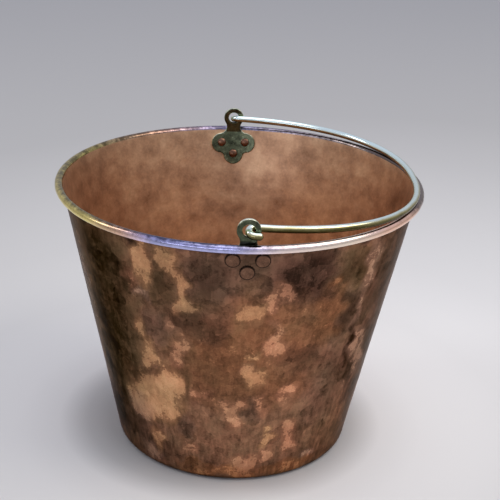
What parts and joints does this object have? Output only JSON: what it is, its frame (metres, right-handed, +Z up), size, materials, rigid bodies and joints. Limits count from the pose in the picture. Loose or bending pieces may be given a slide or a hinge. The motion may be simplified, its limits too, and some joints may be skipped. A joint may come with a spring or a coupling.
{
  "type": "peat bucket",
  "caption": "Tapered hammered copper bucket for peat or firewood, with a wired rim, riveted brass ears and a brass bail that folds down on the rim.",
  "frame": {"origin": "centre of the flat ring that the bucket stands on", "axes": "+Z up along the bucket's axis; the ears are on the Y axis, the front one at -Y; the folded bail lies on the +X side of the rim"},
  "size_m": [0.37, 0.37, 0.3029],
  "materials": {
    "copper": "hammered copper with a brown patina",
    "floor_copper": "plain copper sheet with a brown patina",
    "iron_wire": "drawn iron wire",
    "cast_brass": "cast brass, filed and worn",
    "rivet_copper": "hammered copper",
    "rod_brass": "polished brass rod"
  },
  "bodies": {
    "bucket": {"body_wall": "copper", "floor_disc": "floor_copper", "rim_wire": "iron_wire", "front_ear": "cast_brass", "rear_ear": "cast_brass", "front_rivet_left": "rivet_copper", "front_rivet_right": "rivet_copper", "front_rivet_lower": "rivet_copper", "rear_rivet_left": "rivet_copper", "rear_rivet_right": "rivet_copper", "rear_rivet_lower": "rivet_copper"},
    "bail": {"bail_handle": "rod_brass"}
  },
  "joints": [
    {"name": "handle_swing", "type": "hinge", "parent": "bucket", "child": "bail", "pos_m": [0, 0, 0.29045], "axis": [0, -1, 0], "range_deg": [0, 184.75]}
  ]
}
